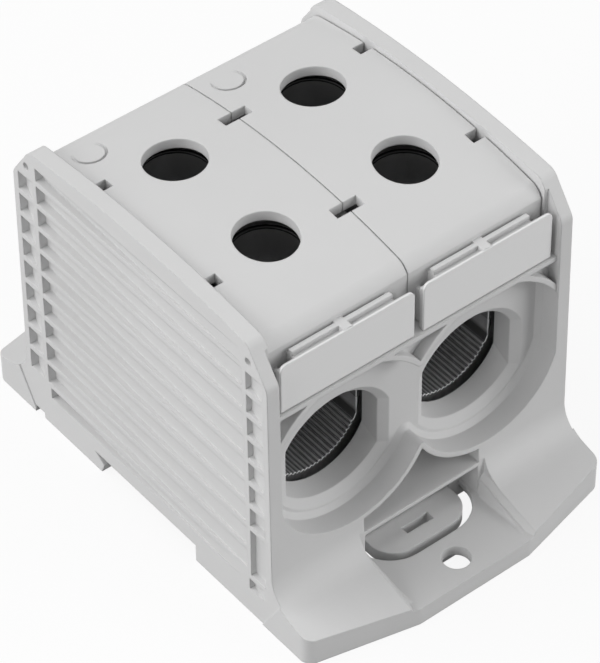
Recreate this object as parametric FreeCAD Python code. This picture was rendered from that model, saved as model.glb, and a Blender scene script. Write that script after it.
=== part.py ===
import FreeCAD, Part
import math
import os

# Two-pole feed-through terminal block for heavy cables, in millimetres.
# X runs across the poles, Y from the front (negative) to the rear, Z up.
# The origin lies at the middle of the base, on the surface that the block is screwed to.

# Layout of the two poles
POLE_PITCH = 38.0
SCREW_SPACING = 31.2
CONDUCTOR_HEIGHT = 38.0

# Outer walls
WALL_DRAFT = 0.3
FRONT_FACE = 45.2
FACE_LEAN = 0.013
WALL_CROWN_HEIGHT = 84.6
WALL_SHOULDER_Y = 37.9
WALL_SHOULDER_HEIGHT = 82.3
WALL_CORNER_HEIGHT = 73.2
WALL_CORNER_RADIUS = 3.0

# Ribs on the outer faces of the walls
RIB_COUNT = 10
TOP_RIB_HEIGHT = 74.8
RIB_PITCH = 6.57
RIB_PITCH_GROWTH = 0.07
RIB_THICKNESS = 1.5
POCKET_DEPTH = 2.0
FRONT_POCKET_DEPTH = 1.4
POST_WIDTH = 1.5
EDGE_POST_WIDTH = 1.8
END_COLUMN_WIDTH = 5.2
PANEL_FRONT_DEPTH = 0.35
WEDGE_COUNT = 6
TOP_POCKET_HEIGHT = 3.6
TALL_POCKET_LOW = 12.3
LOW_POCKET_HEIGHT = 3.2
CORNER_POCKET_RADIUS = 0.95

# Seat of the covers between the walls
BAY_WALL = 4.55
CLAMP_COVER_GAP = 1.0
RIM_THICKNESS = 3.15
RIM_DEPTH = 5.6
LEDGE_TOP = 62.9
LEDGE_THICKNESS = 1.2
LEDGE_FRONT = 43.4
LEDGE_LEAN_START = 35.0

# Cable cups at both ends: two half discs of different radius around one centre
CUP_CENTRE_HEIGHT = 40.2
CUP_LOWER_RADIUS = 20.3
CUP_UPPER_RADIUS = 23.15
CUP_RIM_THICKNESS = 1.3
CUP_FLOOR = 38.5
CUP_FLOOR_BEVEL = 1.2
CUP_RIDGE_FILLET = 1.2
CUP_CORNER_RADIUS = 1.5
UPPER_POCKET_BACK = 41.0

# Cable funnels: half width between the flats, lowest and highest point, and the depth
FUNNEL_MOUTH = (14.8, 21.4, 53.0)
FUNNEL_THROAT = (12.65, 23.7, 51.3)
FUNNEL_END = (12.5, 24.5, 51.3)
FUNNEL_MOUTH_RADIUS = 17.3
FUNNEL_THROAT_RADIUS = 16.3
FUNNEL_END_RADIUS = 13.6
FUNNEL_SIDE_TOP = 43.1
FUNNEL_DEPTH = 1.5

# Shelf between the cups and the latch
SHELF_TOP = 14.6
SHELF_THICKNESS = 1.1
SHELF_POCKET_DEPTH = 11.0
SHELF_POCKET_HALF_WIDTH = 16.5

# Mounting flanges; lengths are counted from the foot of the front face
FLANGE_LENGTH = 18.4
FLANGE_TIP_HALF_WIDTH = 15.8
FLANGE_CORNER_LENGTH = 12.1
FLANGE_OVERHANG = 0.3
FLANGE_CORNER_RADIUS = 3.0
FLANGE_WEB_FOOT = 41.8
FLANGE_WEB_TOP = (48.7, 11.8)
RAMP_TIP_HEIGHT = 5.7
RAMP_SLOPE = 0.27
RAMP_FILLET = 8.5
FLANGE_FLOOR = 4.9
FLANGE_PLATE = 2.85
FLANGE_RIM = 2.4
RECESS_HALF_WIDTH = 16.3
RECESS_TOP_HALF_WIDTH = 18.0
RECESS_CORNER_RADIUS = 0.8
RECESS_BEVEL = 1.5
MOUNT_HOLE_LENGTH = 11.9
MOUNT_HOLE_RADIUS = 3.35

# Foot for the 35 mm rail
RAIL_WIDTH = 35.0
RAIL_SEAT = 4.9
RAIL_PLAY = 0.3
HOOK_TIP_INSET = 1.3
HOOK_TIP_THICKNESS = 2.5
HOOK_SLIT_DEPTH = 2.1
JAW_END = 39.2
JAW_NOTCH = 3.2

# Foot slider
LATCH_TOP = 5.0
LATCH_THICKNESS = 3.3
LATCH_HALF_WIDTH = 12.4
LATCH_LENGTH = 3.55
LATCH_CORNER_RADIUS = 6.3
LATCH_TRAVEL = 1.65
LATCH_GAP = 0.3
LATCH_OPENING_HALF_WIDTH = 15.6
LATCH_OPENING_RADIUS = 10.0
LATCH_OPENING_PLATE = 1.6
LATCH_OPENING_MARGIN = 1.8
LATCH_NOSE_LENGTH = 3.0
DRIVER_SLOT_LENGTH = 7.5
DRIVER_SLOT_WIDTH = 2.3
DRIVER_SLOT_Y = 43.8
SPRING_WINDOW_HALF_WIDTH = 2.2
SPRING_REAR = 25.5
SPRING_LENGTH = 8.0
SPRING_POST_LENGTH = 2.5
SPRING_RADIUS = 1.15
SPRING_WIRE_RADIUS = 0.22
SPRING_TURNS = 5
SPRING_STEPS_PER_TURN = 10

# Clamp bodies
CLAMP_HALF_WIDTH = 15.6
CLAMP_HALF_LENGTH = 30.0
CLAMP_BOTTOM = 20.5
CLAMP_COVER_DROP = 5.4
CLAMP_EDGE_RADIUS = 3.0
CLAMP_GAP = 0.3
CLAMP_END_GAP = 2.0
BORE_RADIUS = 13.5
BORE_FLAT = 12.6
SERRATION_COUNT = 25
SERRATION_DEPTH = 0.6
SERRATION_HALF_ANGLE = 62.0

# Clamp screws and their pressure pads
SCREW_RADIUS = 8.0
SCREW_FIT = 0.05
SCREW_LENGTH = 14.0
SCREW_RISE = 13.0
SCREW_CHAMFER = 1.0
SOCKET_ACROSS_FLATS = 8.0
SOCKET_DEPTH = 7.0
TIP_RADIUS = 3.0
TIP_LENGTH = 1.8
PAD_RADIUS = 7.2
PAD_THICKNESS = 3.2
PAD_SEAT_DEPTH = 1.5

# Covers; heights are counted from the ledge that they sit on
COVER_SIDE_GAP = 0.35
COVER_SEAM_GAP = 0.3
COVER_HEIGHT = 20.5
COVER_CROWN_RADIUS = 190.0
COVER_PLATE = 2.6
COVER_SHOULDER_Y = 36.0
COVER_EDGE_Y = 38.9
COVER_EDGE_DROP = 2.6
COVER_WALL = 1.7
COVER_SEAT_GAP = 0.3
ACCESS_RADIUS = 7.3
NOTCH_Y = 19.0
NOTCH_LENGTH = 3.0
CENTRE_NOTCH_HALF_WIDTH = 3.7
SIDE_NOTCH_WIDTH = 3.2
NOTCH_DEPTH = 9.0
PANEL_FACE = 42.9
PANEL_THICKNESS = 1.5
PANEL_LIP = 0.7
PANEL_HEIGHT = 13.3
PANEL_INNER_X = 1.3
PANEL_SIDE_INSET = 0.2
PANEL_CORNER_RADIUS = 1.5
PANEL_TIE = 1.2
MARKER_STRIP_HEIGHT = 13.5
MARKER_STRIP_FRONT = 40.8
MARKER_STRIP_REAR = 39.6
MARKER_STRIP_HALF_LENGTH = 13.4
MARKER_GROOVE_HEIGHT = 12.3
MARKER_RAIL_DEPTH = 4.0
MARKER_BRIDGE_WIDTH = 2.4
MARK_X = 11.8
MARK_Y = 30.6
MARK_RADIUS = 4.0
MARK_DEPTH = 0.3
MARK_WIDTH = 0.6

REACH = 200.0
POLES = (("left", -1), ("right", 1))
ENDS = (("front", -1), ("rear", 1))

half_pitch = POLE_PITCH / 2
cover_half_width = half_pitch + CLAMP_HALF_WIDTH + CLAMP_COVER_GAP + COVER_WALL
panel_outer_x = cover_half_width - PANEL_SIDE_INSET
cover_bay_half_width = cover_half_width + COVER_SIDE_GAP
base_half_width = cover_bay_half_width + BAY_WALL
flange_half_width = base_half_width + FLANGE_OVERHANG
cover_crown = LEDGE_TOP + COVER_HEIGHT
panel_top = LEDGE_TOP + PANEL_HEIGHT
marker_strip_top = LEDGE_TOP + MARKER_STRIP_HEIGHT
marker_groove_floor = LEDGE_TOP + MARKER_GROOVE_HEIGHT
clamp_top = cover_crown - CLAMP_COVER_DROP
screw_top = CONDUCTOR_HEIGHT + BORE_RADIUS + SCREW_RISE
screw_y = SCREW_SPACING / 2
chamber_half_width = CLAMP_HALF_WIDTH + CLAMP_GAP
chamber_half_length = CLAMP_HALF_LENGTH + CLAMP_END_GAP
rim_inner_x = base_half_width - WALL_CROWN_HEIGHT * math.tan(math.radians(WALL_DRAFT)) - RIM_THICKNESS
rim_rear_y = FRONT_FACE - RIM_DEPTH
flange_reach = FRONT_FACE + FLANGE_LENGTH
flange_corner_y = FRONT_FACE + FLANGE_CORNER_LENGTH
mount_hole_y = FRONT_FACE + MOUNT_HOLE_LENGTH
latch_front = FRONT_FACE + LATCH_LENGTH
latch_opening_front = latch_front + LATCH_TRAVEL + LATCH_GAP
latch_bottom = LATCH_TOP - LATCH_THICKNESS
ledge_bottom = LEDGE_TOP - LEDGE_THICKNESS


def in_xy(z):
    return lambda u, v: FreeCAD.Vector(u, v, z)


def in_yz(x):
    return lambda u, v: FreeCAD.Vector(x, u, v)


def in_xz(y):
    return lambda u, v: FreeCAD.Vector(u, y, v)


def closed_wire(place, start, steps):
    """Wire from a start point: a step of one point is a line, one of two points an arc."""
    edges = []
    here = place(*start)
    for step in steps:
        end = place(*step[-1])
        if here.distanceToPoint(end) < 1e-6:
            continue
        if len(step) == 1:
            edges.append(Part.makeLine(here, end))
        else:
            edges.append(Part.Arc(here, place(*step[0]), end).toShape())
        here = end
    first = place(*start)
    if here.distanceToPoint(first) > 1e-6:
        edges.append(Part.makeLine(here, first))
    return Part.Wire(edges)


def rounded_wire(place, corners):
    """Closed polygon; a corner given as (u, v, radius) is rounded."""
    points = [(c[0], c[1]) for c in corners]
    radii = [c[2] if len(c) > 2 else 0.0 for c in corners]
    count = len(points)
    marks = []
    for i in range(count):
        here, radius = points[i], radii[i]
        if radius <= 0:
            marks.append((here, None, here))
            continue
        towards = []
        for other in (points[i - 1], points[(i + 1) % count]):
            length = math.dist(here, other)
            towards.append(((other[0] - here[0]) / length, (other[1] - here[1]) / length))
        (ax, ay), (bx, by) = towards
        half = math.acos(max(-1.0, min(1.0, ax * bx + ay * by))) / 2
        along = radius / math.tan(half)
        bisector = math.hypot(ax + bx, ay + by)
        inward = (radius / math.sin(half) - radius) / bisector
        middle = (here[0] + (ax + bx) * inward, here[1] + (ay + by) * inward)
        enter = (here[0] + ax * along, here[1] + ay * along)
        leave = (here[0] + bx * along, here[1] + by * along)
        marks.append((enter, middle, leave))
    steps = []
    for i in range(count):
        enter, middle, leave = marks[i]
        if i:
            steps.append((enter,))
        if middle:
            steps.append((middle, leave))
    return closed_wire(place, marks[0][0], steps)


def prism(wire, along):
    return Part.Face(wire).extrude(along)


def prism_x(corners, x0, x1):
    return prism(rounded_wire(in_yz(x0), corners), FreeCAD.Vector(x1 - x0, 0, 0))


def prism_y(corners, y0, y1):
    return prism(rounded_wire(in_xz(y0), corners), FreeCAD.Vector(0, y1 - y0, 0))


def prism_z(corners, z0, z1):
    return prism(rounded_wire(in_xy(z0), corners), FreeCAD.Vector(0, 0, z1 - z0))


def block(x0, x1, y0, y1, z0, z1):
    return Part.makeBox(x1 - x0, y1 - y0, z1 - z0, FreeCAD.Vector(x0, y0, z0))


def rod_y(x, z, radius, y0, y1):
    return Part.makeCylinder(radius, y1 - y0, FreeCAD.Vector(x, y0, z), FreeCAD.Vector(0, 1, 0))


def rod_z(x, y, radius, z0, z1):
    return Part.makeCylinder(radius, z1 - z0, FreeCAD.Vector(x, y, z0))


def flip_x(shape):
    return shape.mirror(FreeCAD.Vector(0, 0, 0), FreeCAD.Vector(1, 0, 0))


def flip_y(shape):
    return shape.mirror(FreeCAD.Vector(0, 0, 0), FreeCAD.Vector(0, 1, 0))


def both_ends(shapes):
    return shapes + [flip_y(shape) for shape in shapes]


def both_sides(shapes):
    return shapes + [flip_x(shape) for shape in shapes]


def fused(shapes):
    return shapes[0].multiFuse(shapes[1:]) if len(shapes) > 1 else shapes[0]


def face_y(z):
    """Distance of the leaning front face from the middle at a height."""
    return FRONT_FACE - FACE_LEAN * z


def rise(radius, run):
    """Height over its centre of a circle's point at a distance from the middle line."""
    return math.sqrt(radius ** 2 - run ** 2)


def meeting_angle(run, radius):
    """Angle at which a circle meets a line at a distance from its centre; 0 where it falls short."""
    return math.degrees(math.acos(min(1.0, run / radius)))


def arc(x, z, radius, start, end):
    """Step of a wire along an arc around (x, z), between two angles in degrees."""
    return tuple(
        (x + radius * math.cos(math.radians(angle)), z + radius * math.sin(math.radians(angle)))
        for angle in ((start + end) / 2, end)
    )


def flatted_opening(y, x, sizes, radius):
    """Cable opening across Y: round below and above, with a flat on each side."""
    flat, bottom, top = sizes
    side_bottom = bottom + radius - rise(radius, flat)
    return closed_wire(in_xz(y), (x - flat, side_bottom), [
        ((x, bottom), (x + flat, side_bottom)),
        ((x + flat, FUNNEL_SIDE_TOP),),
        ((x, top), (x - flat, FUNNEL_SIDE_TOP)),
        ((x - flat, side_bottom),),
    ])


# Housing


def wall_block():
    """The whole outer form between the flanges, with the crowned and cut-off wall tops."""
    corner_y = face_y(WALL_CORNER_HEIGHT)
    place = in_yz(-base_half_width)
    wire = closed_wire(place, (-FRONT_FACE, 0), [
        ((-corner_y, WALL_CORNER_HEIGHT),),
        ((-WALL_SHOULDER_Y, WALL_SHOULDER_HEIGHT),),
        ((0, WALL_CROWN_HEIGHT), (WALL_SHOULDER_Y, WALL_SHOULDER_HEIGHT)),
        ((corner_y, WALL_CORNER_HEIGHT),),
        ((FRONT_FACE, 0),),
    ])
    solid = prism(wire, FreeCAD.Vector(2 * base_half_width, 0, 0))
    turned = (WALL_CORNER_HEIGHT, WALL_SHOULDER_HEIGHT)
    edges = [
        edge for edge in solid.Edges
        if abs(edge.BoundBox.XLength - 2 * base_half_width) < 0.01
        and any(abs(edge.CenterOfMass.z - height) < 0.01 for height in turned)
    ]
    return solid.makeFillet(WALL_CORNER_RADIUS, edges)


def drafted_envelope():
    """Space between the two leaning outer wall planes."""
    lean = (WALL_CROWN_HEIGHT + 1) * math.tan(math.radians(WALL_DRAFT))
    top_half_width = base_half_width - lean
    return prism_y([
        (-base_half_width, 0), (base_half_width, 0),
        (top_half_width, WALL_CROWN_HEIGHT + 1), (-top_half_width, WALL_CROWN_HEIGHT + 1),
    ], -REACH / 2, REACH / 2)


def flange():
    """Front flange: two ramps that run up into the face, cut to the flange's plan outline."""
    foot = RAMP_TIP_HEIGHT + FLANGE_LENGTH * RAMP_SLOPE
    inside = CUP_FLOOR
    top = foot + 2 * RAMP_FILLET
    side = prism_x([
        (-inside, 0), (-flange_reach, 0), (-flange_reach, RAMP_TIP_HEIGHT, 0.6),
        (-face_y(foot), foot, RAMP_FILLET), (-face_y(top), top), (-inside, top),
    ], -flange_half_width, flange_half_width)
    plan = prism_z([
        (-flange_half_width, -inside), (-flange_half_width, -flange_corner_y, FLANGE_CORNER_RADIUS),
        (-FLANGE_TIP_HALF_WIDTH, -flange_reach, FLANGE_CORNER_RADIUS),
        (FLANGE_TIP_HALF_WIDTH, -flange_reach, FLANGE_CORNER_RADIUS),
        (flange_half_width, -flange_corner_y, FLANGE_CORNER_RADIUS), (flange_half_width, -inside),
    ], 0, top)
    return side.common(plan).cut(beside_wall(top))


def beside_wall(top):
    """Space outside the wall planes behind the slanted crease where the flange stands proud."""
    web_y, web_z = FLANGE_WEB_TOP
    lean = (web_y - FLANGE_WEB_FOOT) / web_z
    region = prism_x([
        (0, -1), (-FLANGE_WEB_FOOT + lean, -1), (-FLANGE_WEB_FOOT - lean * top, top), (0, top),
    ], -REACH / 2, REACH / 2)
    return region.cut(drafted_envelope())


def flange_recess():
    """Space over the flange's floor, between its ramps and under the shelf."""
    under_shelf = block(-RECESS_HALF_WIDTH, RECESS_HALF_WIDTH, -FRONT_FACE - 1, -rim_rear_y,
                        FLANGE_FLOOR, SHELF_TOP - SHELF_THICKNESS)
    over_floor = prism_y([
        (-RECESS_HALF_WIDTH, FLANGE_FLOOR, RECESS_CORNER_RADIUS),
        (RECESS_HALF_WIDTH, FLANGE_FLOOR, RECESS_CORNER_RADIUS),
        (RECESS_TOP_HALF_WIDTH, SHELF_TOP + 4), (-RECESS_TOP_HALF_WIDTH, SHELF_TOP + 4),
    ], -REACH / 2, -FRONT_FACE)
    return [over_floor, under_shelf, recess_bevel()]


def recess_bevel():
    """Cut that bevels the inner edges of both ramps, parallel to their slope."""
    crest = RAMP_TIP_HEIGHT + FLANGE_LENGTH * RAMP_SLOPE
    inner = RECESS_TOP_HALF_WIDTH - 0.75 * RECESS_BEVEL
    high = crest + SHELF_TOP
    section = rounded_wire(in_xz(-FRONT_FACE), [
        (-inner, crest - RECESS_BEVEL), (inner, crest - RECESS_BEVEL), (RECESS_TOP_HALF_WIDTH, crest),
        (RECESS_TOP_HALF_WIDTH, high), (-RECESS_TOP_HALF_WIDTH, high), (-RECESS_TOP_HALF_WIDTH, crest),
    ])
    run = FLANGE_LENGTH + 1
    cut = prism(section, FreeCAD.Vector(0, -run, -run * RAMP_SLOPE))
    return cut.common(block(-REACH / 2, REACH / 2, -REACH / 2, 0, FLANGE_FLOOR, SHELF_TOP + 4))


def flange_underside():
    """Coffers that leave the flange a plate with a rim and two ribs beside the middle bay."""
    plate_bottom = FLANGE_FLOOR - FLANGE_PLATE
    rear = -FRONT_FACE - FLANGE_RIM
    tip = -flange_reach + FLANGE_RIM
    middle = block(-RECESS_HALF_WIDTH + FLANGE_RIM, RECESS_HALF_WIDTH - FLANGE_RIM,
                   tip, -latch_opening_front - FLANGE_RIM, 0, plate_bottom)
    side = prism_z([
        (RECESS_HALF_WIDTH + 1.5, rear), (RECESS_HALF_WIDTH + 1.5, tip + 0.9),
        (flange_half_width - FLANGE_RIM, -flange_corner_y + FLANGE_RIM),
        (flange_half_width - FLANGE_RIM, rear),
    ], 0, plate_bottom)
    return [middle] + both_sides([side])


def cup_outline(y):
    """Both cups in one outline, cut off by the walls and the ledge as far as these reach them."""
    x, z = half_pitch, CUP_CENTRE_HEIGHT
    side = rim_inner_x - half_pitch
    inner = meeting_angle(half_pitch, CUP_LOWER_RADIUS)
    outer = meeting_angle(side, CUP_LOWER_RADIUS)
    outer_top = meeting_angle(side, CUP_UPPER_RADIUS)
    inner_top = meeting_angle(half_pitch, CUP_UPPER_RADIUS)
    ledge = 90 - meeting_angle(ledge_bottom - z, CUP_UPPER_RADIUS)
    start = (0, z - CUP_LOWER_RADIUS * math.sin(math.radians(inner)))

    def upper(middle, angle):
        turn = math.radians(angle)
        return ((middle + CUP_UPPER_RADIUS * math.cos(turn), z + CUP_UPPER_RADIUS * math.sin(turn)),)

    def lower(middle, angle):
        turn = math.radians(angle)
        return ((middle + CUP_LOWER_RADIUS * math.cos(turn), z + CUP_LOWER_RADIUS * math.sin(turn)),)

    return closed_wire(in_xz(y), start, [
        arc(x, z, CUP_LOWER_RADIUS, 180 + inner, 360 - outer),
        upper(x, outer_top),
        arc(x, z, CUP_UPPER_RADIUS, outer_top, ledge),
        upper(x, 180 - ledge),
        arc(x, z, CUP_UPPER_RADIUS, 180 - ledge, 180 - inner_top),
        arc(-x, z, CUP_UPPER_RADIUS, inner_top, ledge),
        upper(-x, 180 - ledge),
        arc(-x, z, CUP_UPPER_RADIUS, 180 - ledge, 180 - outer_top),
        lower(-x, 180 + outer),
        arc(-x, z, CUP_LOWER_RADIUS, 180 + outer, 360 - inner),
    ])


def cup_edges(cups, x):
    """Edges of the cups' outline that run into the face at a distance from the middle."""
    return [
        edge for edge in cups.Edges
        if edge.BoundBox.YLength > 1 and abs(abs(edge.CenterOfMass.x) - x) < 0.01
    ]


def cup_recess():
    """The merged cups, with a soft ridge between them and bevelled corners along their floor."""
    cups = prism(cup_outline(-CUP_FLOOR), FreeCAD.Vector(0, -REACH / 2, 0))
    cups = cups.makeFillet(CUP_RIDGE_FILLET, cup_edges(cups, 0))
    cups = cups.makeFillet(CUP_CORNER_RADIUS, cup_edges(cups, cups.BoundBox.XMax))
    floor_edges = [
        edge for edge in cups.Edges
        if edge.BoundBox.YLength < 0.01 and abs(edge.CenterOfMass.y + CUP_FLOOR) < 0.01
    ]
    return cups.makeChamfer(CUP_FLOOR_BEVEL, floor_edges)


def rim_rods(radius):
    """Rods around the cups' centres that stand for their rims."""
    return [
        rod_y(sign * half_pitch, CUP_CENTRE_HEIGHT, radius + CUP_RIM_THICKNESS, -REACH / 2, 0)
        for _, sign in POLES
    ]


def rim_pockets():
    """Triangular pockets outside the rims: under the ledge, and over the shelf."""
    upper = block(-rim_inner_x, rim_inner_x, -REACH / 2, -UPPER_POCKET_BACK,
                  CUP_CENTRE_HEIGHT, ledge_bottom)
    lower = block(-SHELF_POCKET_HALF_WIDTH, SHELF_POCKET_HALF_WIDTH, -REACH / 2,
                  -FRONT_FACE + SHELF_POCKET_DEPTH, SHELF_TOP, CUP_CENTRE_HEIGHT)
    return [upper.cut(rim_rods(CUP_UPPER_RADIUS)), lower.cut(rim_rods(CUP_LOWER_RADIUS))]


def ledge_lean():
    """Wedge that sets the face between the walls back towards the ledge."""
    return prism_x([
        (-face_y(LEDGE_LEAN_START), LEDGE_LEAN_START), (-LEDGE_FRONT, LEDGE_TOP + 0.1),
        (-REACH / 2, LEDGE_TOP + 0.1), (-REACH / 2, LEDGE_LEAN_START),
    ], -rim_inner_x, rim_inner_x)


def funnels():
    """Funnels from the cup floor to their throat, and on from there to the chamber."""
    shapes = []
    throat_y = -CUP_FLOOR + FUNNEL_DEPTH
    for _, sign in POLES:
        x = sign * half_pitch
        mouth = flatted_opening(-CUP_FLOOR, x, FUNNEL_MOUTH, FUNNEL_MOUTH_RADIUS)
        throat = flatted_opening(throat_y, x, FUNNEL_THROAT, FUNNEL_THROAT_RADIUS)
        end = flatted_opening(-chamber_half_length, x, FUNNEL_END, FUNNEL_END_RADIUS)
        shapes.append(Part.makeLoft([mouth, throat], True, True))
        shapes.append(Part.makeLoft([throat, end], True, True))
    return shapes


def cover_bay():
    """Room for the covers between the walls, wider beside the thin rims at both ends."""
    bay = block(-cover_bay_half_width, cover_bay_half_width, -REACH / 2, REACH / 2,
                LEDGE_TOP, WALL_CROWN_HEIGHT + 1)
    mouth = block(-rim_inner_x, rim_inner_x, -REACH / 2, -rim_rear_y,
                  LEDGE_TOP, WALL_CROWN_HEIGHT + 1)
    return [bay] + both_ends([mouth])


def chambers():
    """Room for the two clamp bodies, open to the bay above."""
    return [
        block(sign * half_pitch - chamber_half_width, sign * half_pitch + chamber_half_width,
              -chamber_half_length, chamber_half_length, CLAMP_BOTTOM, LEDGE_TOP)
        for _, sign in POLES
    ]


def rail_channel():
    """Seat on the rail with the slit of the fixed hook; the front lip is the slider's."""
    edge = RAIL_WIDTH / 2
    tip = edge - HOOK_TIP_INSET
    return prism_x([
        (-edge - RAIL_PLAY, 0), (-edge - RAIL_PLAY, RAIL_SEAT),
        (edge + HOOK_SLIT_DEPTH, RAIL_SEAT), (tip, HOOK_TIP_THICKNESS), (edge - 0.3, 0),
    ], -REACH / 2, REACH / 2)


def jaw_notch():
    """Notch that parts the fixed jaw from the rear flange."""
    return block(-REACH / 2, REACH / 2, JAW_END, JAW_END + JAW_NOTCH, 0, RAIL_SEAT / 3)


def latch_window(margin, low, high):
    """Round-cornered window in the flange floor, as wide as the slider's opening and a margin."""
    half = LATCH_OPENING_HALF_WIDTH + margin
    front = latch_opening_front + margin
    return prism_z([
        (-half, -rim_rear_y), (-half, -front, LATCH_OPENING_RADIUS + margin),
        (half, -front, LATCH_OPENING_RADIUS + margin), (half, -rim_rear_y),
    ], low, high)


def latch_channel():
    """Slider's opening in the flange floor and its closed guide on towards the rail."""
    half = LATCH_HALF_WIDTH + LATCH_GAP
    guide_rear = -RAIL_WIDTH / 2 - RAIL_PLAY
    opening = latch_window(0, 0, FLANGE_FLOOR)
    relief = latch_window(LATCH_OPENING_MARGIN, 0, FLANGE_FLOOR - LATCH_OPENING_PLATE)
    guide = block(-half, half, -rim_rear_y - 0.1, guide_rear,
                  latch_bottom - LATCH_GAP, LATCH_TOP + LATCH_GAP)
    nose_front = guide_rear - LATCH_NOSE_LENGTH - LATCH_TRAVEL - 2 * LATCH_GAP
    nose_slot = block(-half, half, nose_front, guide_rear, 0, latch_bottom)
    return [opening, relief, guide, nose_slot]


def spring_post():
    """Post that stands in the slider's window and holds the front end of its spring."""
    front = -SPRING_REAR - SPRING_LENGTH - SPRING_POST_LENGTH
    half = SPRING_WINDOW_HALF_WIDTH - LATCH_GAP
    return block(-half, half, front, front + SPRING_POST_LENGTH,
                 latch_bottom - 2 * LATCH_GAP, LATCH_TOP + 2 * LATCH_GAP)


def mount_holes():
    return [
        rod_z(0, sign * mount_hole_y, MOUNT_HOLE_RADIUS, -1, SHELF_TOP)
        for _, sign in ENDS
    ]


def rib_height(index):
    """Height of a rib's middle, counted from the top; the pitch grows a little downwards."""
    return TOP_RIB_HEIGHT - RIB_PITCH * index - RIB_PITCH_GROWTH * index * (index - 1) / 2


def wedge_pocket(deep_y, shallow_y, depths, low, high):
    """Pocket in the left wall: deepest at its rear edge, running out towards the front."""
    outside = 1.0
    deep, shallow = depths
    return prism_z([
        (-outside, deep_y), (deep, deep_y), (shallow, shallow_y), (-outside, shallow_y),
    ], low, high)


def columns(z):
    """Rear and front edge of the rear column, the main panel and the front column."""
    rear = face_y(z) - EDGE_POST_WIDTH
    inner = rear - END_COLUMN_WIDTH
    panel = inner - POST_WIDTH
    return (rear, inner), (panel, -panel), (-inner, -rear)


def wall_pockets():
    """Pockets between the ribs, on the plane x = 0 with depth along +X."""
    pockets = []
    half_rib = RIB_THICKNESS / 2
    for index in range(RIB_COUNT - 1):
        high = rib_height(index) - half_rib
        low = rib_height(index + 1) + half_rib
        rear, panel, front = columns((high + low) / 2)
        pockets.append(wedge_pocket(*rear, (POCKET_DEPTH, 0.2), low, high))
        pockets.append(wedge_pocket(*panel, (POCKET_DEPTH, PANEL_FRONT_DEPTH), low, high))
        if index < WEDGE_COUNT:
            pockets.append(wedge_pocket(*front, (FRONT_POCKET_DEPTH, 0.2), low, high))
        if index == WEDGE_COUNT:
            pockets.append(wedge_pocket(*front, (FRONT_POCKET_DEPTH,) * 2, low, high))
            high = low - RIB_THICKNESS
            pockets.append(wedge_pocket(*front, (FRONT_POCKET_DEPTH,) * 2, TALL_POCKET_LOW, high))
    return pockets


def edge_pockets():
    """Smaller pockets over the first rib and under the last one."""
    top = rib_height(0) + RIB_THICKNESS / 2
    bottom = rib_height(RIB_COUNT - 1) - RIB_THICKNESS / 2
    rear, panel, front = columns(top)
    pockets = [
        wedge_pocket(*panel, (POCKET_DEPTH, 0.0), top, top + TOP_POCKET_HEIGHT),
        wedge_pocket(*panel, (POCKET_DEPTH, 0.0), bottom - LOW_POCKET_HEIGHT, bottom),
        wedge_pocket(*front, (FRONT_POCKET_DEPTH, 0.0), TALL_POCKET_LOW - RIB_THICKNESS - LOW_POCKET_HEIGHT,
                     TALL_POCKET_LOW - RIB_THICKNESS),
    ]
    height = top + 2 * CORNER_POCKET_RADIUS
    for y in (rear[1] + 2 * CORNER_POCKET_RADIUS, front[0] - CORNER_POCKET_RADIUS):
        pockets.append(Part.makeCylinder(CORNER_POCKET_RADIUS, 2 * CORNER_POCKET_RADIUS,
                                         FreeCAD.Vector(-CORNER_POCKET_RADIUS, y, height),
                                         FreeCAD.Vector(1, 0, 0)))
    return pockets


def rib_relief():
    """The pockets of both walls, leaned onto the drafted outer planes."""
    left = []
    for pocket in wall_pockets() + edge_pockets():
        pocket.rotate(FreeCAD.Vector(0, 0, 0), FreeCAD.Vector(0, 1, 0), WALL_DRAFT)
        pocket.translate(FreeCAD.Vector(-base_half_width, 0, 0))
        left.append(pocket)
    return both_sides(left)


def housing():
    walls = wall_block().common(drafted_envelope())
    body = fused([walls] + both_ends([flange()]))
    end_cuts = (
        flange_recess() + flange_underside() + [cup_recess(), ledge_lean()] + rim_pockets() + funnels()
    )
    cuts = both_ends(end_cuts) + cover_bay() + chambers() + rib_relief() + mount_holes()
    cuts += [rail_channel(), jaw_notch()] + latch_channel()
    return body.cut(cuts).fuse(spring_post()).removeSplitter()


# Clamp bodies, screws and pads


def serrated_bore(place, x):
    """Bore outline: flats at the sides, a plain arc above and teeth along the lower arc."""
    z = CONDUCTOR_HEIGHT
    half = rise(BORE_RADIUS, BORE_FLAT)
    steps = [((x, z + BORE_RADIUS), (x - BORE_FLAT, z + half)), ((x - BORE_FLAT, z - half),)]
    for index in range(2 * SERRATION_COUNT + 1):
        share = index / SERRATION_COUNT - 1
        angle = math.radians(-90 + share * SERRATION_HALF_ANGLE)
        radius = BORE_RADIUS - (SERRATION_DEPTH if index % 2 else 0)
        steps.append(((x + radius * math.cos(angle), z + radius * math.sin(angle)),))
    steps.append(((x + BORE_FLAT, z - half),))
    return closed_wire(place, (x + BORE_FLAT, z + half), steps)


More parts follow.
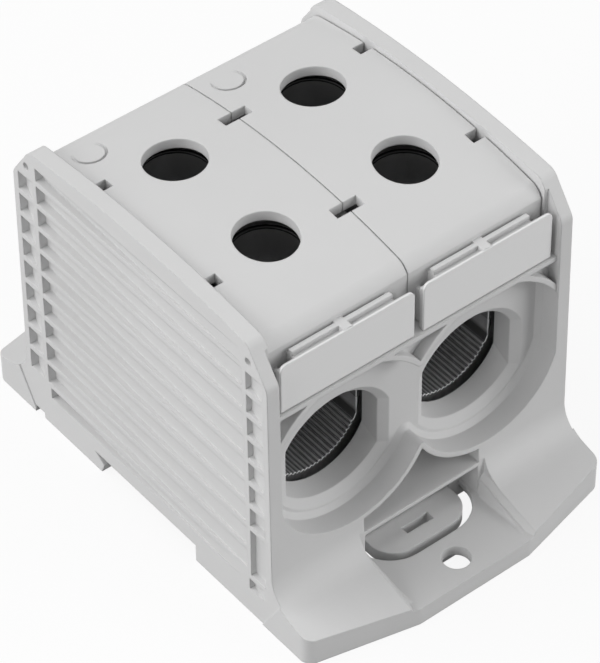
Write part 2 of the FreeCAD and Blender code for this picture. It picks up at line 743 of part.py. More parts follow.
def clamp_body(sign):
    x = sign * half_pitch
    corners = [
        (x - CLAMP_HALF_WIDTH, CLAMP_BOTTOM, CLAMP_EDGE_RADIUS),
        (x + CLAMP_HALF_WIDTH, CLAMP_BOTTOM, CLAMP_EDGE_RADIUS),
        (x + CLAMP_HALF_WIDTH, clamp_top, CLAMP_EDGE_RADIUS),
        (x - CLAMP_HALF_WIDTH, clamp_top, CLAMP_EDGE_RADIUS),
    ]
    body = prism_y(corners, -CLAMP_HALF_LENGTH, CLAMP_HALF_LENGTH)
    bore = prism(serrated_bore(in_xz(-CLAMP_HALF_LENGTH), x),
                 FreeCAD.Vector(0, 2 * CLAMP_HALF_LENGTH, 0))
    holes = [
        rod_z(x, end * screw_y, SCREW_RADIUS + SCREW_FIT, CONDUCTOR_HEIGHT, clamp_top + 1)
        for _, end in ENDS
    ]
    return body.cut([bore] + holes)


def clamp_screw(x, y):
    """Grub screw: chamfered top, hexagon socket and a plain tip that carries the pad."""
    bottom = screw_top - SCREW_LENGTH
    steps = [
        ((SCREW_RADIUS - SCREW_CHAMFER, screw_top),),
        ((SCREW_RADIUS, screw_top - SCREW_CHAMFER),),
        ((SCREW_RADIUS, bottom),),
        ((TIP_RADIUS, bottom),),
        ((TIP_RADIUS, bottom - TIP_LENGTH),),
        ((0, bottom - TIP_LENGTH),),
    ]
    half_section = Part.Face(closed_wire(in_xz(0), (0, screw_top), steps))
    screw = half_section.revolve(FreeCAD.Vector(0, 0, 0), FreeCAD.Vector(0, 0, 1), 360)
    corner = SOCKET_ACROSS_FLATS / math.sqrt(3)
    hexagon = [
        (corner * math.cos(math.radians(60 * k)), corner * math.sin(math.radians(60 * k)))
        for k in range(6)
    ]
    screw = screw.cut(prism_z(hexagon, screw_top - SOCKET_DEPTH, screw_top + 1))
    screw.translate(FreeCAD.Vector(x, y, 0))
    return screw


def pressure_pad(x, y):
    """Round pad under the screw tip, with the recess that the tip turns in."""
    tip_end = screw_top - SCREW_LENGTH - TIP_LENGTH
    top = tip_end + PAD_SEAT_DEPTH
    pad = rod_z(x, y, PAD_RADIUS, top - PAD_THICKNESS, top)
    seat = rod_z(x, y, TIP_RADIUS + SCREW_FIT, tip_end, top + 1)
    return pad.cut(seat)


# Foot slider and its spring


def rail_latch():
    front = -latch_front
    edge = -RAIL_WIDTH / 2 - RAIL_PLAY
    plate = prism_z([
        (-LATCH_HALF_WIDTH, edge), (-LATCH_HALF_WIDTH, front, LATCH_CORNER_RADIUS),
        (LATCH_HALF_WIDTH, front, LATCH_CORNER_RADIUS), (LATCH_HALF_WIDTH, edge),
    ], latch_bottom, LATCH_TOP)
    nose = prism_x([
        (edge - LATCH_NOSE_LENGTH, HOOK_TIP_THICKNESS), (edge - LATCH_NOSE_LENGTH, LATCH_GAP),
        (edge, LATCH_GAP), (-RAIL_WIDTH / 2 + HOOK_TIP_INSET, HOOK_TIP_THICKNESS - 0.4),
        (-RAIL_WIDTH / 2 + HOOK_TIP_INSET, HOOK_TIP_THICKNESS),
    ], -LATCH_HALF_WIDTH, LATCH_HALF_WIDTH)
    half_slot = DRIVER_SLOT_WIDTH / 2
    slot = block(-DRIVER_SLOT_LENGTH / 2, DRIVER_SLOT_LENGTH / 2, -DRIVER_SLOT_Y - half_slot,
                 -DRIVER_SLOT_Y + half_slot, 0, LATCH_TOP + 1)
    window = block(-SPRING_WINDOW_HALF_WIDTH, SPRING_WINDOW_HALF_WIDTH,
                   -SPRING_REAR - SPRING_LENGTH - SPRING_POST_LENGTH - LATCH_GAP,
                   -SPRING_REAR, 0, LATCH_TOP + 1)
    return plate.fuse(nose).cut([slot, window]).removeSplitter()


def coil_section(angle, y):
    """Hexagonal section of the spring's wire, across its run at an angle of the coil."""
    coil_radius = SPRING_RADIUS - SPRING_WIRE_RADIUS
    outward = FreeCAD.Vector(math.cos(angle), 0, math.sin(angle))
    corners = []
    for k in range(6):
        turn = math.radians(60 * k)
        corners.append(outward * (coil_radius + SPRING_WIRE_RADIUS * math.cos(turn))
                       + FreeCAD.Vector(0, y + SPRING_WIRE_RADIUS * math.sin(turn), 0))
    return Part.makePolygon(corners + corners[:1])


def latch_spring():
    """Helical compression spring, lying along Y in the slider's window."""
    count = SPRING_TURNS * SPRING_STEPS_PER_TURN
    length = SPRING_LENGTH - 2 * (SPRING_WIRE_RADIUS + 0.02)
    sections = [
        coil_section(2 * math.pi * k / SPRING_STEPS_PER_TURN, length * k / count)
        for k in range(count + 1)
    ]
    coil = Part.makeLoft(sections, True, True)
    coil.translate(FreeCAD.Vector(
        0, -SPRING_REAR - (SPRING_LENGTH + length) / 2, (latch_bottom + LATCH_TOP) / 2))
    return coil


# Covers


def crown_z(y):
    """Height of the domed cover at a distance from its middle."""
    return cover_crown - y ** 2 / (2 * COVER_CROWN_RADIUS)


def dome_plate():
    """Domed plate of the right cover, turned down at both ends as far as the ledge."""
    shoulder = crown_z(COVER_SHOULDER_Y)
    edge = shoulder - COVER_EDGE_DROP
    turn = ((COVER_SHOULDER_Y + COVER_EDGE_Y) / 2 + 0.25, shoulder - COVER_EDGE_DROP * 0.36)
    inner_edge = COVER_EDGE_Y - COVER_WALL
    under = crown_z(inner_edge) - COVER_PLATE
    low = LEDGE_TOP + COVER_SEAT_GAP
    x0 = COVER_SEAM_GAP / 2
    wire = closed_wire(in_yz(x0), (-COVER_EDGE_Y, low), [
        ((-COVER_EDGE_Y, edge),),
        ((-turn[0], turn[1]), (-COVER_SHOULDER_Y, shoulder)),
        ((0, cover_crown), (COVER_SHOULDER_Y, shoulder)),
        ((turn[0], turn[1]), (COVER_EDGE_Y, edge)),
        ((COVER_EDGE_Y, low),),
        ((inner_edge, low),),
        ((inner_edge, under),),
        ((0, cover_crown - COVER_PLATE), (-inner_edge, under)),
        ((-inner_edge, low),),
    ])
    return prism(wire, FreeCAD.Vector(cover_half_width - x0, 0, 0))


def cover_side_walls():
    """Walls down to the housing's ledges, along the seam and along the outer edge."""
    x0 = COVER_SEAM_GAP / 2
    bottom = LEDGE_TOP + COVER_SEAT_GAP
    top = crown_z(COVER_EDGE_Y) - COVER_PLATE / 2
    end = COVER_EDGE_Y - COVER_WALL / 2
    seam = block(x0, x0 + COVER_WALL, -end, end, bottom, top)
    outer = block(cover_half_width - COVER_WALL, cover_half_width, -end, end, bottom, top)
    return [seam, outer]


def label_panel():
    """Front panel with rounded upper corners and a thin lip along its top."""
    bottom = LEDGE_TOP + COVER_SEAT_GAP
    lip = prism_y([
        (PANEL_INNER_X, bottom), (panel_outer_x, bottom),
        (panel_outer_x, panel_top, PANEL_CORNER_RADIUS), (PANEL_INNER_X, panel_top, PANEL_CORNER_RADIUS),
    ], -PANEL_FACE, -PANEL_FACE + PANEL_LIP)
    plate = block(PANEL_INNER_X, panel_outer_x, -PANEL_FACE + PANEL_LIP / 2,
                  -PANEL_FACE + PANEL_THICKNESS, bottom, panel_top - PANEL_CORNER_RADIUS)
    return [lip, plate]


def marker_rail():
    """Raised strip between two grooves behind the panel's lip, crossed by one bridge."""
    x0 = half_pitch - MARKER_STRIP_HALF_LENGTH
    x1 = half_pitch + MARKER_STRIP_HALF_LENGTH
    bed = block(x0, x1, -PANEL_FACE + PANEL_LIP / 2, -COVER_EDGE_Y + COVER_WALL / 2,
                marker_groove_floor - MARKER_RAIL_DEPTH, marker_groove_floor)
    strip = block(x0, x1, -MARKER_STRIP_FRONT, -MARKER_STRIP_REAR,
                  marker_groove_floor - 0.1, marker_strip_top)
    bridge = block(half_pitch - MARKER_BRIDGE_WIDTH / 2, half_pitch + MARKER_BRIDGE_WIDTH / 2,
                   -PANEL_FACE + PANEL_LIP / 2, -COVER_EDGE_Y + COVER_WALL / 2,
                   marker_groove_floor - 0.1, marker_strip_top)
    return [bed, strip, bridge]


def panel_ties():
    """Webs that join the panel's sides to the dome's skirt behind it."""
    bottom = LEDGE_TOP + COVER_SEAT_GAP
    top = panel_top - 2 * PANEL_CORNER_RADIUS - 1
    return [
        block(x, x + PANEL_TIE, -PANEL_FACE + 0.5, -COVER_EDGE_Y + COVER_WALL / 2, bottom, top)
        for x in (PANEL_INNER_X + 1, panel_outer_x - PANEL_TIE - 1)
    ]


def cover_notches():
    """Notches across the seam and at the outer edge, over the snap windows."""
    cuts = []
    low = crown_z(NOTCH_Y) - NOTCH_DEPTH
    for _, end in ENDS:
        y0 = end * NOTCH_Y - NOTCH_LENGTH / 2
        y1 = end * NOTCH_Y + NOTCH_LENGTH / 2
        cuts.append(block(-1, CENTRE_NOTCH_HALF_WIDTH, y0, y1, low, REACH))
        cuts.append(block(cover_half_width - SIDE_NOTCH_WIDTH, cover_half_width + 1, y0, y1, low, REACH))
    return cuts


def access_holes():
    return [rod_z(half_pitch, end * screw_y, ACCESS_RADIUS, LEDGE_TOP, REACH) for _, end in ENDS]


def round_mark(x):
    """Shallow plain ring pressed into the top."""
    top = crown_z(MARK_Y)
    ring = rod_z(x, MARK_Y, MARK_RADIUS, top - MARK_DEPTH - 0.1, top + 2)
    return ring.cut(rod_z(x, MARK_Y, MARK_RADIUS - MARK_WIDTH, 0, REACH))


def cover(sign):
    """Cover of one pole; both are alike but for the side of their round mark."""
    front = label_panel() + marker_rail() + panel_ties()
    body = fused([dome_plate()] + cover_side_walls() + front)
    body = body.cut(cover_notches() + access_holes()).removeSplitter()
    if sign < 0:
        body = flip_x(body)
    return body.cut(round_mark(sign * half_pitch - MARK_X))


def build():
    nodes = {"housing": housing(), "rail_latch": rail_latch(), "latch_spring": latch_spring()}
    for pole, sign in POLES:
        nodes["cover_" + pole] = cover(sign)
        nodes["clamp_body_" + pole] = clamp_body(sign)
        for end, side in ENDS:
            name = pole + "_" + end
            nodes["clamp_screw_" + name] = clamp_screw(sign * half_pitch, side * screw_y)
            nodes["pressure_pad_" + name] = pressure_pad(sign * half_pitch, side * screw_y)
    return nodes


os.makedirs("parts", exist_ok=True)
for node, shape in build().items():
    shape.exportStep("parts/" + node + ".step")
    print(node, len(shape.Solids), shape.isValid(), round(shape.Volume, 1))
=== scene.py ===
import math

import bpy
import bmesh
from mathutils import Matrix, Vector


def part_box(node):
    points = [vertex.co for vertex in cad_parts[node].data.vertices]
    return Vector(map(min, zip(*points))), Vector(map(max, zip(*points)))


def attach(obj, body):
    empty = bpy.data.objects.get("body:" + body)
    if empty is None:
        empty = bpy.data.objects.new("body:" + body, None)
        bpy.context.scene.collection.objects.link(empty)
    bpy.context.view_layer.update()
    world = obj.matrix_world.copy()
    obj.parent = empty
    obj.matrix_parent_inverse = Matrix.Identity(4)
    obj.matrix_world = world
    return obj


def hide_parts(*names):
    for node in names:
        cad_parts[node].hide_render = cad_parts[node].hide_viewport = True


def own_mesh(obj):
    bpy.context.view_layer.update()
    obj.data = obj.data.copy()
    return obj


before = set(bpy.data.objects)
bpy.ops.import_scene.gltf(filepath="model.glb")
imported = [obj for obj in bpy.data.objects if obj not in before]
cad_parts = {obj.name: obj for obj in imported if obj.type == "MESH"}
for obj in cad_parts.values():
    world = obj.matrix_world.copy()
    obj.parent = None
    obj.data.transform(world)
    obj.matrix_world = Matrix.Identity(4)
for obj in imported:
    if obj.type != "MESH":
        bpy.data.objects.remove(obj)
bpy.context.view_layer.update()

scene = bpy.context.scene

# Camera of the photograph: place in metres, angles in degrees, lens in millimetres
CAMERA_PLACE = (-0.34511, -0.43763, 0.57657)
CAMERA_AZIMUTH = -38.428
CAMERA_ELEVATION = 44.373
CAMERA_ROLL = -0.685
CAMERA_LENS = 189.06
CAMERA_SENSOR = 36.0
CAMERA_CLIP_START = 0.01

# Light: each lamp has a name, a place in metres and a power in watts
WORLD_STRENGTH = 0.24
LAMP_SIZE = 1.2
LAMPS = (
    ("left", (-1.8, 0.0, 0.7), 17.0),
    ("rear", (-0.9, 0.9, 1.4), 14.4),
    ("top", (0.0, 0.2, 1.9), 7.0),
    ("front", (1.2, -1.3, 0.6), 17.8),
)

# Surround: white to the eye and in mirrors, greyer where it throws light back on the block
WHITE = (1.0, 1.0, 1.0)
SEEN_STRENGTH = 1.0
FLOOR_SIZE = 8.0
FLOOR_GREY = (0.35, 0.35, 0.35)
FLOOR_SHADOW_GREY = (0.80, 0.80, 0.80)
FLOOR_SHADOW_SHARE = 0.10

# Colours, linear
HOUSING_GREY = (0.64, 0.64, 0.64)
# painted shade: near black for the housing's chamber behind the funnels, which lies in shade
CHAMBER_PAINTED_SHADE = (0.05, 0.05, 0.05)
COVER_GREY = (0.64, 0.64, 0.64)
# painted light: lighter colour for the face of the label panels, standing in for the light they catch
PANEL_PAINTED_LIGHT = (0.80, 0.80, 0.80)
LATCH_GREY = (0.66, 0.66, 0.66)
ALUMINIUM = (0.60, 0.60, 0.61)
# both real wear and painted light: bright worn edges of the aluminium, and the painted highlight on the
# crests of the bore's teeth
WORN_AND_HIGHLIGHT_ALUMINIUM = (0.92, 0.92, 0.93)
# painted shade: dark colour in the valleys between the bore's teeth
VALLEY_PAINTED_SHADE = (0.20, 0.20, 0.20)
# painted shade: darker colour for the threads deep in the screw holes
THREAD_PAINTED_SHADE = (0.34, 0.34, 0.34)
# painted shade: near black along the holes' upper rim, in the shade under the cover
THREAD_RIM_PAINTED_SHADE = (0.03, 0.03, 0.03)
SCREW_STEEL = (0.30, 0.30, 0.31)
PAD_STEEL = (0.36, 0.36, 0.37)
SPRING_STEEL = (0.45, 0.45, 0.46)
WORN_STEEL = (0.62, 0.62, 0.63)

# Finish of the plastic: noise scales per metre, lengths in metres
EDGE_RADIUS = 0.00045
BEVEL_SAMPLES = 6
CLOUD_SCALE = 22.0
CLOUD_AMOUNT = 0.02
GRAIN_SCALE = 5200.0
PLASTIC_SPECULAR = 0.35

# Finish of the metals: a worn edge starts and is full at these cosines of its turn
WORN_EDGE_RADIUS = 0.00028
WORN_EDGE_START = 0.985
WORN_EDGE_FULL = 0.85
LINE_SCALE = 900.0
LINE_AMOUNT = 0.12
SCRATCH_SCALE = 2400.0
DRAWN_ALONG_Y = (1.0, 0.05, 1.0)
EVEN = (1.0, 1.0, 1.0)

# Places on the block where light and shade are painted into the colour, metres
POLE_X = 0.019
SCREW_Y = 0.0156
PANEL_FRONT = -0.0424
CHAMBER_HALF_WIDTH = 0.0372
CHAMBER_HALF_LENGTH = 0.0321
CHAMBER_BOTTOM = 0.0206
CHAMBER_TOP = 0.0600
BORE_Z = 0.038
BORE_RADIUS = 0.0135
BORE_MARGIN = 0.00005
TOOTH_DEPTH = 0.0006
TOOTH_END = 0.0001
# the teeth keep painted shade within this distance of the bore's middle and get their full painted
# highlight from the next one on
TEETH_DARK_WITHIN = 0.008
TEETH_BRIGHT_FROM = 0.028
THREAD_MOUTH = 0.010
THREAD_START = 0.0522
THREAD_RIM_RADIUS = 0.0088
THREAD_RIM_START = 0.0774

# Clamp screws, metres; the thread's triangle and the cut at its root count in thread depths
SCREW_TOP = 0.0645
SCREW_BOTTOM = 0.0505
SCREW_CREST = 0.008
SCREW_ROOT = 0.0068
SCREW_PITCH = 0.002
SCREW_FACE = 0.0070
SCREW_FACE_INSET = 0.0002
SCREW_END_SLOPE = 1.2
SCREW_END_LAND = 0.0003
THREAD_TRIANGLE = 1.35
THREAD_ROOT_CUT = 0.15
SOCKET_ACROSS_FLATS = 0.008
SOCKET_DEPTH = 0.007
TIP_RADIUS = 0.003
TIP_LENGTH = 0.0018
RING_POINTS = 48
LEVELS_PER_TURN = 10
SHARP_ANGLE = 35

# Foot slider's spring, metres
SPRING_REAR = -0.0255
SPRING_FRONT = -0.0335
SPRING_END_GAP = 0.00002
SPRING_HEIGHT = 0.00335
SPRING_COIL_RADIUS = 0.00093
SPRING_WIRE_RADIUS = 0.00022
SPRING_TURNS = 5
STEPS_PER_TURN = 36
WIRE_POINTS = 12

# Sockets of the colour mix node, whose names repeat
MIX_FIRST = 6
MIX_SECOND = 7
MIX_RESULT = 2


def opaque(colour):
    """The colour with full cover."""
    return (*colour, 1.0)


class Nodes:
    """Adds and links the shader nodes of one material or world."""

    def __init__(self, owner):
        owner.use_nodes = True
        self.tree = owner.node_tree
        self.tree.nodes.clear()

    def add(self, kind, **values):
        """Node of a kind; a value goes to the input or else the setting of its name."""
        node = self.tree.nodes.new(kind)
        for key, value in values.items():
            if key in node.inputs:
                node.inputs[key].default_value = value
            else:
                setattr(node, key, value)
        return node

    def link(self, source, target):
        self.tree.links.new(source, target)

    def split(self, place):
        """The three coordinates of a place."""
        parts = self.add("ShaderNodeSeparateXYZ")
        self.link(place, parts.inputs["Vector"])
        return parts.outputs


def shaded_surface(name, roughness, metallic=0.0):
    """Material with one principled shader, whose colour and normal the caller links."""
    material = bpy.data.materials.new(name)
    nodes = Nodes(material)
    output = nodes.add("ShaderNodeOutputMaterial")
    shader = nodes.add("ShaderNodeBsdfPrincipled", Roughness=roughness, Metallic=metallic)
    nodes.link(shader.outputs["BSDF"], output.inputs["Surface"])
    return material, nodes, shader


def varied_colour(nodes, colour, coordinates, scale, amount):
    """Colour that wanders a little around its mean."""
    noise = nodes.add("ShaderNodeTexNoise", Scale=scale, Detail=4.0, Roughness=0.55)
    ramp = nodes.add("ShaderNodeValToRGB")
    low, high = ramp.color_ramp.elements
    low.position, high.position = 0.3, 0.7
    low.color = opaque(c * (1 - amount) for c in colour)
    high.color = opaque(min(1.0, c * (1 + amount)) for c in colour)
    nodes.link(coordinates, noise.inputs["Vector"])
    nodes.link(noise.outputs["Fac"], ramp.inputs["Fac"])
    return ramp.outputs["Color"]


def rounded_normal(nodes, radius):
    """Normal of the surface with its edges rounded."""
    return nodes.add("ShaderNodeBevel", Radius=radius, samples=BEVEL_SAMPLES).outputs["Normal"]


def grain_bump(nodes, coordinates, scale, depth):
    """Fine grain over softly rounded edges."""
    noise = nodes.add("ShaderNodeTexNoise", Scale=scale, Detail=3.0, Roughness=0.6)
    bump = nodes.add("ShaderNodeBump", Strength=1.0, Distance=depth)
    nodes.link(coordinates, noise.inputs["Vector"])
    nodes.link(noise.outputs["Fac"], bump.inputs["Height"])
    nodes.link(rounded_normal(nodes, EDGE_RADIUS), bump.inputs["Normal"])
    return bump.outputs["Normal"]


def calc(nodes, operation, first, second=0.0):
    """Math node over two sockets or numbers."""
    node = nodes.add("ShaderNodeMath", operation=operation)
    for value, socket in zip((first, second), node.inputs):
        if isinstance(value, float):
            socket.default_value = value
        else:
            nodes.link(value, socket)
    return node.outputs["Value"]


def rise(nodes, value, start, full):
    """Goes from zero to one as the value goes from its start to full."""
    node = nodes.add("ShaderNodeMapRange", **{"From Min": start, "From Max": full})
    nodes.link(value, node.inputs["Value"])
    return node.outputs["Result"]


def from_line(nodes, first, first_place, second, second_place):
    """Distance from a line, in a section across it; the first coordinate counts mirrored."""
    across = calc(nodes, "SUBTRACT", calc(nodes, "ABSOLUTE", first), first_place)
    along = calc(nodes, "SUBTRACT", second, second_place)
    squares = calc(nodes, "ADD", calc(nodes, "POWER", across, 2.0), calc(nodes, "POWER", along, 2.0))
    return calc(nodes, "SQRT", squares)


def inside(nodes, *pairs):
    """One where each value lies below its limit."""
    mask = None
    for value, limit in pairs:
        below = calc(nodes, "LESS_THAN", value, limit)
        mask = below if mask is None else calc(nodes, "MULTIPLY", mask, below)
    return mask


def tinted(nodes, mask, colour, tint):
    """The colour, with a tint (a colour or a socket) where the mask is one."""
    mix = nodes.add("ShaderNodeMix", data_type="RGBA")
    nodes.link(mask, mix.inputs["Factor"])
    nodes.link(colour, mix.inputs[MIX_FIRST])
    if isinstance(tint, tuple):
        mix.inputs[MIX_SECOND].default_value = opaque(tint)
    else:
        nodes.link(tint, mix.inputs[MIX_SECOND])
    return mix.outputs[MIX_RESULT]


def painted_chamber_shade(nodes, place, colour):
    """Painted shade: near-black colour on the housing behind the funnels, where the chamber lies in
    shade.
    """
    x, y, z = nodes.split(place)
    mask = inside(nodes, (calc(nodes, "ABSOLUTE", x), CHAMBER_HALF_WIDTH),
                  (calc(nodes, "ABSOLUTE", y), CHAMBER_HALF_LENGTH),
                  (calc(nodes, "MULTIPLY", z, -1.0), -CHAMBER_BOTTOM), (z, CHAMBER_TOP))
    return tinted(nodes, mask, colour, CHAMBER_PAINTED_SHADE)


def painted_panel_light(nodes, place, colour):
    """Painted light: lighter colour on the face of the label panels, standing in for the extra light
    that falls on them.
    """
    y = nodes.split(place)["Y"]
    return tinted(nodes, inside(nodes, (y, PANEL_FRONT)), colour, PANEL_PAINTED_LIGHT)


def painted_serration_light_and_shade(nodes, place, colour):
    """Painted highlight and shade in the lower bore: bright crests and dark valleys of the teeth,
    brightest near the bore's mouth where more light falls.
    """
    x, y, z = nodes.split(place)
    distance = from_line(nodes, x, POLE_X, z, BORE_Z)
    crest = rise(nodes, distance, BORE_RADIUS - TOOTH_END, BORE_RADIUS - TOOTH_DEPTH + TOOTH_END)
    light = rise(nodes, calc(nodes, "ABSOLUTE", y), TEETH_DARK_WITHIN, TEETH_BRIGHT_FROM)
    valley = nodes.add("ShaderNodeRGB").outputs["Color"]
    valley.default_value = opaque(VALLEY_PAINTED_SHADE)
    teeth = tinted(nodes, calc(nodes, "MULTIPLY", crest, light), valley, WORN_AND_HIGHLIGHT_ALUMINIUM)
    lower_bore = inside(nodes, (distance, BORE_RADIUS + BORE_MARGIN), (z, BORE_Z))
    return tinted(nodes, lower_bore, colour, teeth)


def painted_thread_shade(nodes, place, colour):
    """Painted shade: darker colour over the threads of the screw holes, darkest along their upper rim,
    where the gap under the cover lies in shade.
    """
    x, y, z = nodes.split(place)
    distance = from_line(nodes, x, POLE_X, calc(nodes, "ABSOLUTE", y), SCREW_Y)
    depth = calc(nodes, "MULTIPLY", z, -1.0)
    threads = inside(nodes, (distance, THREAD_MOUTH), (depth, -THREAD_START))
    rim = inside(nodes, (distance, THREAD_RIM_RADIUS), (depth, -THREAD_RIM_START))
    shaded_threads = tinted(nodes, threads, colour, THREAD_PAINTED_SHADE)
    return tinted(nodes, rim, shaded_threads, THREAD_RIM_PAINTED_SHADE)


def worn_edges(nodes, colour, bright):
    """Mixes a brighter colour over a narrow band along the edges."""
    match = nodes.add("ShaderNodeVectorMath", operation="DOT_PRODUCT")
    nodes.link(rounded_normal(nodes, WORN_EDGE_RADIUS), match.inputs[0])
    nodes.link(nodes.add("ShaderNodeNewGeometry").outputs["Normal"], match.inputs[1])
    band = rise(nodes, match.outputs["Value"], WORN_EDGE_START, WORN_EDGE_FULL)
    return tinted(nodes, band, colour, bright)


def moulded_plastic(name, colour, roughness, grain, zones=None):
    """Fine-grained plastic; zones paints light and shade into its colour in places."""
    material, nodes, shader = shaded_surface(name, roughness)
    place = nodes.add("ShaderNodeTexCoord").outputs["Object"]
    surface = varied_colour(nodes, colour, place, CLOUD_SCALE, CLOUD_AMOUNT)
    if zones:
        surface = zones(nodes, place, surface)
    nodes.link(surface, shader.inputs["Base Color"])
    nodes.link(grain_bump(nodes, place, GRAIN_SCALE, grain), shader.inputs["Normal"])
    shader.inputs["Specular IOR Level"].default_value = PLASTIC_SPECULAR
    return material


def metal(name, colour, bright, roughness, scratch_depth, stretch=EVEN, under=None, over=None):
    """Metal with fine lines, stretched along an axis, and bright worn edges.

    under and over paint highlights and shade into its colour in places, below and above the worn edges.
    """
    material, nodes, shader = shaded_surface(name, roughness, 1.0)
    place = nodes.add("ShaderNodeTexCoord").outputs["Object"]
    mapping = nodes.add("ShaderNodeMapping", Scale=stretch)
    nodes.link(place, mapping.inputs["Vector"])
    lines = mapping.outputs["Vector"]
    surface = varied_colour(nodes, colour, lines, LINE_SCALE, LINE_AMOUNT)
    if under:
        surface = under(nodes, place, surface)
    surface = worn_edges(nodes, surface, bright)
    if over:
        surface = over(nodes, place, surface)
    nodes.link(surface, shader.inputs["Base Color"])
    nodes.link(grain_bump(nodes, lines, SCRATCH_SCALE, scratch_depth), shader.inputs["Normal"])
    return material


def dress(prefix, material):
    """Gives every node whose name starts with the prefix its material."""
    for name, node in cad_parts.items():
        if name.startswith(prefix):
            node.data.materials.clear()
            node.data.materials.append(material)


def ringed_mesh(name, rings, material):
    """Closed skin through rings of equally many points; the ends close on their middles."""
    mesh = bpy.data.meshes.new(name)
    build = bmesh.new()
    loops = [[build.verts.new(point) for point in ring] for ring in rings]
    for near, far in zip(loops, loops[1:]):
        for k in range(len(near)):
            after = (k + 1) % len(near)
            build.faces.new((near[k], near[after], far[after], far[k]))
    for loop in (loops[0], loops[-1]):
        middle = sum((vert.co for vert in loop), Vector()) / len(loop)
        centre = build.verts.new(middle)
        for k in range(len(loop)):
            build.faces.new((loop[k], loop[(k + 1) % len(loop)], centre))
    bmesh.ops.recalc_face_normals(build, faces=build.faces)
    build.to_mesh(mesh)
    build.free()
    for face in mesh.polygons:
        face.use_smooth = True
    mesh.set_sharp_from_angle(angle=math.radians(SHARP_ANGLE))
    mesh.materials.append(material)
    piece = bpy.data.objects.new(name, mesh)
    scene.collection.objects.link(piece)
    return piece


def level_ring(place, radius, z):
    """Ring round a screw's axis; the radius may depend on the angle."""
    points = []
    for k in range(RING_POINTS):
        angle = 2 * math.pi * k / RING_POINTS
        size = radius(angle) if callable(radius) else radius
        points.append((place[0] + size * math.cos(angle), place[1] + size * math.sin(angle), z))
    return points


def hexagon_radius(angle):
    """Distance of the socket's wall from the screw's axis."""
    side = (angle + math.pi / 6) % (math.pi / 3) - math.pi / 6
    return SOCKET_ACROSS_FLATS / 2 / math.cos(side)


def thread_radius(z):
    """Radius of the thread over the angle at a height: flanks with a narrow crest and root."""
    from_end = min(SCREW_TOP - z, z - SCREW_BOTTOM + SCREW_END_LAND)
    limit = SCREW_FACE + SCREW_END_SLOPE * from_end

    def radius(angle):
        phase = ((z / SCREW_PITCH) + angle / (2 * math.pi)) % 1.0
        share = min(1.0, max(0.0, THREAD_TRIANGLE * (1 - abs(2 * phase - 1)) - THREAD_ROOT_CUT))
        return min(limit, SCREW_ROOT + (SCREW_CREST - SCREW_ROOT) * share)

    return radius


def add_clamp_screw(key, place, material):
    """Threaded screw with a hexagon socket and a plain tip, in the place of the plain one."""
    levels = round((SCREW_TOP - SCREW_BOTTOM) / SCREW_PITCH * LEVELS_PER_TURN)
    rings = [level_ring(place, hexagon_radius, SCREW_TOP - SOCKET_DEPTH),
             level_ring(place, hexagon_radius, SCREW_TOP),
             level_ring(place, SCREW_FACE - SCREW_FACE_INSET, SCREW_TOP)]
    for k in range(levels + 1):
        z = SCREW_TOP - (SCREW_TOP - SCREW_BOTTOM) * k / levels
        rings.append(level_ring(place, thread_radius(z), z))
    rings.append(level_ring(place, TIP_RADIUS, SCREW_BOTTOM))
    rings.append(level_ring(place, TIP_RADIUS, SCREW_BOTTOM - TIP_LENGTH))
    screw = ringed_mesh("threaded_screw_" + key, rings, material)
    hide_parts("clamp_screw_" + key)
    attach(screw, key + "_screw")


def add_clamp_screws(material):
    """Threaded screws in the places of all the plain ones."""
    prefix = "clamp_screw_"
    plain_screws = [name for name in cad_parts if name.startswith(prefix)]
    for name in plain_screws:
        low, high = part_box(name)
        place = ((low[0] + high[0]) / 2, (low[1] + high[1]) / 2)
        add_clamp_screw(name[len(prefix):], place, material)


def wire_ring(turned, advance, run):
    """Ring of points round the spring's wire, where it has turned and advanced so far."""
    outward = Vector((math.cos(turned), 0.0, math.sin(turned)))
    along = Vector((-math.sin(turned) * SPRING_COIL_RADIUS, run / (2 * math.pi * SPRING_TURNS),
                    math.cos(turned) * SPRING_COIL_RADIUS)).normalized()
    across = along.cross(outward)
    centre = outward * SPRING_COIL_RADIUS + Vector(
        (0.0, SPRING_FRONT + SPRING_WIRE_RADIUS + SPRING_END_GAP + advance, SPRING_HEIGHT))
    ring = []
    for k in range(WIRE_POINTS):
        angle = 2 * math.pi * k / WIRE_POINTS
        spoke = math.cos(angle) * outward + math.sin(angle) * across
        ring.append(centre + SPRING_WIRE_RADIUS * spoke)
    return ring


def add_latch_spring(material):
    """Round-wire coil in the place of the coarse one."""
    steps = SPRING_TURNS * STEPS_PER_TURN
    run = SPRING_REAR - SPRING_FRONT - 2 * SPRING_WIRE_RADIUS - 2 * SPRING_END_GAP
    rings = [wire_ring(2 * math.pi * SPRING_TURNS * k / steps, run * k / steps, run)
             for k in range(steps + 1)]
    spring = ringed_mesh("wound_latch_spring", rings, material)
    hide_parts("latch_spring")
    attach(spring, "base")
    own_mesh(spring)


def camera_axes():
    """Right, up and back axes of the photograph's camera."""
    azimuth, elevation, roll = (math.radians(a) for a in (CAMERA_AZIMUTH, CAMERA_ELEVATION, CAMERA_ROLL))
    back = Vector((math.sin(azimuth) * math.cos(elevation),
                   -math.cos(azimuth) * math.cos(elevation), math.sin(elevation)))
    right = Vector((math.cos(azimuth), math.sin(azimuth), 0.0))
    up = back.cross(right)
    return (math.cos(roll) * right + math.sin(roll) * up,
            -math.sin(roll) * right + math.cos(roll) * up, back)


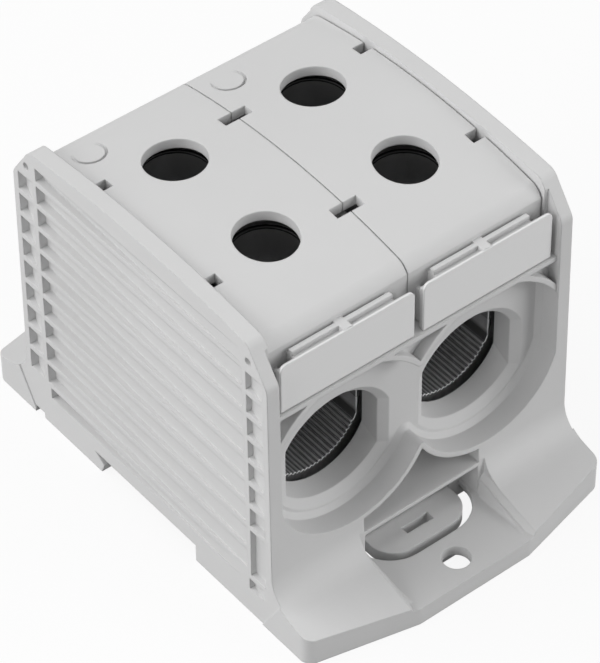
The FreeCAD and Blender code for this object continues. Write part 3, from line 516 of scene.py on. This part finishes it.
def add_camera():
    """Camera at the photograph's view."""
    data = bpy.data.cameras.new("photo_camera")
    data.lens = CAMERA_LENS
    data.sensor_width = CAMERA_SENSOR
    data.clip_start = CAMERA_CLIP_START
    camera = bpy.data.objects.new("photo_camera", data)
    scene.collection.objects.link(camera)
    turn = Matrix(camera_axes()).transposed().to_4x4()
    camera.matrix_world = Matrix.Translation(CAMERA_PLACE) @ turn
    scene.camera = camera


def seen_rays(nodes):
    """One for the rays that show a surround: the camera's own, mirrored and refracted ones."""
    path = nodes.add("ShaderNodeLightPath").outputs
    mirrored = calc(nodes, "MAXIMUM", path["Is Glossy Ray"], path["Is Transmission Ray"])
    return calc(nodes, "MAXIMUM", path["Is Camera Ray"], mirrored)


def mix_shaders(nodes, first, second, share):
    """Shader between two others; the second one's share is a number or a socket."""
    mix = nodes.add("ShaderNodeMixShader")
    nodes.link(first, mix.inputs[1])
    nodes.link(second, mix.inputs[2])
    if isinstance(share, float):
        mix.inputs["Fac"].default_value = share
    else:
        nodes.link(share, mix.inputs["Fac"])
    return mix.outputs["Shader"]


def add_world():
    """Even soft light; the camera and mirrors see a white surround."""
    world = bpy.data.worlds.new("studio")
    scene.world = world
    nodes = Nodes(world)
    output = nodes.add("ShaderNodeOutputWorld")
    light = nodes.add("ShaderNodeBackground", Color=opaque(WHITE), Strength=WORLD_STRENGTH)
    seen = nodes.add("ShaderNodeBackground", Color=opaque(WHITE), Strength=SEEN_STRENGTH)
    surround = mix_shaders(nodes, light.outputs["Background"], seen.outputs["Background"],
                           seen_rays(nodes))
    nodes.link(surround, output.inputs["Surface"])


def add_lamps():
    """Large soft lamps around the block, strongest from the left and the front."""
    for name, place, power in LAMPS:
        data = bpy.data.lights.new(name, "AREA")
        data.shape = "SQUARE"
        data.size = LAMP_SIZE
        data.energy = power
        lamp = bpy.data.objects.new(name, data)
        scene.collection.objects.link(lamp)
        lamp.location = place
        lamp.rotation_euler = (-Vector(place)).to_track_quat("-Z", "Y").to_euler()


def floor_material():
    """Pale floor that the camera and mirrors see as white, with only a light shadow."""
    material = bpy.data.materials.new("floor")
    nodes = Nodes(material)
    output = nodes.add("ShaderNodeOutputMaterial")
    pale = nodes.add("ShaderNodeBsdfDiffuse", Color=opaque(FLOOR_GREY))
    shadowed = nodes.add("ShaderNodeBsdfDiffuse", Color=opaque(FLOOR_SHADOW_GREY))
    white = nodes.add("ShaderNodeEmission", Color=opaque(WHITE), Strength=SEEN_STRENGTH)
    seen = mix_shaders(nodes, white.outputs["Emission"], shadowed.outputs["BSDF"], FLOOR_SHADOW_SHARE)
    surface = mix_shaders(nodes, pale.outputs["BSDF"], seen, seen_rays(nodes))
    nodes.link(surface, output.inputs["Surface"])
    return material


def add_floor():
    """Square floor under the block."""
    mesh = bpy.data.meshes.new("floor")
    half = FLOOR_SIZE / 2
    corners = [(-half, -half, 0), (half, -half, 0), (half, half, 0), (-half, half, 0)]
    mesh.from_pydata(corners, [], [(0, 1, 2, 3)])
    floor = bpy.data.objects.new("floor", mesh)
    scene.collection.objects.link(floor)
    mesh.materials.append(floor_material())


def dress_plastic():
    """Materials of the housing, the covers and the slider."""
    dress("housing", moulded_plastic("housing_plastic", HOUSING_GREY, roughness=0.55,
                                     grain=0.000012, zones=painted_chamber_shade))
    dress("cover", moulded_plastic("cover_plastic", COVER_GREY, roughness=0.5,
                                   grain=0.000010, zones=painted_panel_light))
    dress("rail_latch", moulded_plastic("latch_plastic", LATCH_GREY, roughness=0.5, grain=0.000012))


def dress_metal():
    """Materials of the clamp bodies, pads, screws and spring, with the finer screws and spring."""
    dress("clamp_body", metal("clamp_aluminium", ALUMINIUM, WORN_AND_HIGHLIGHT_ALUMINIUM, roughness=0.42,
                              scratch_depth=0.00003, stretch=DRAWN_ALONG_Y,
                              under=painted_serration_light_and_shade, over=painted_thread_shade))
    dress("pressure_pad", metal("pad_steel", PAD_STEEL, WORN_STEEL, roughness=0.4,
                                scratch_depth=0.00002))
    screw_steel = metal("screw_steel", SCREW_STEEL, WORN_STEEL, roughness=0.45, scratch_depth=0.00002)
    spring_steel = metal("spring_steel", SPRING_STEEL, WORN_STEEL, roughness=0.35,
                         scratch_depth=0.00001)
    dress("clamp_screw", screw_steel)
    dress("latch_spring", spring_steel)
    add_clamp_screws(screw_steel)
    add_latch_spring(spring_steel)


scene.view_settings.view_transform = "Standard"
add_camera()
add_world()
add_lamps()
add_floor()
dress_plastic()
dress_metal()
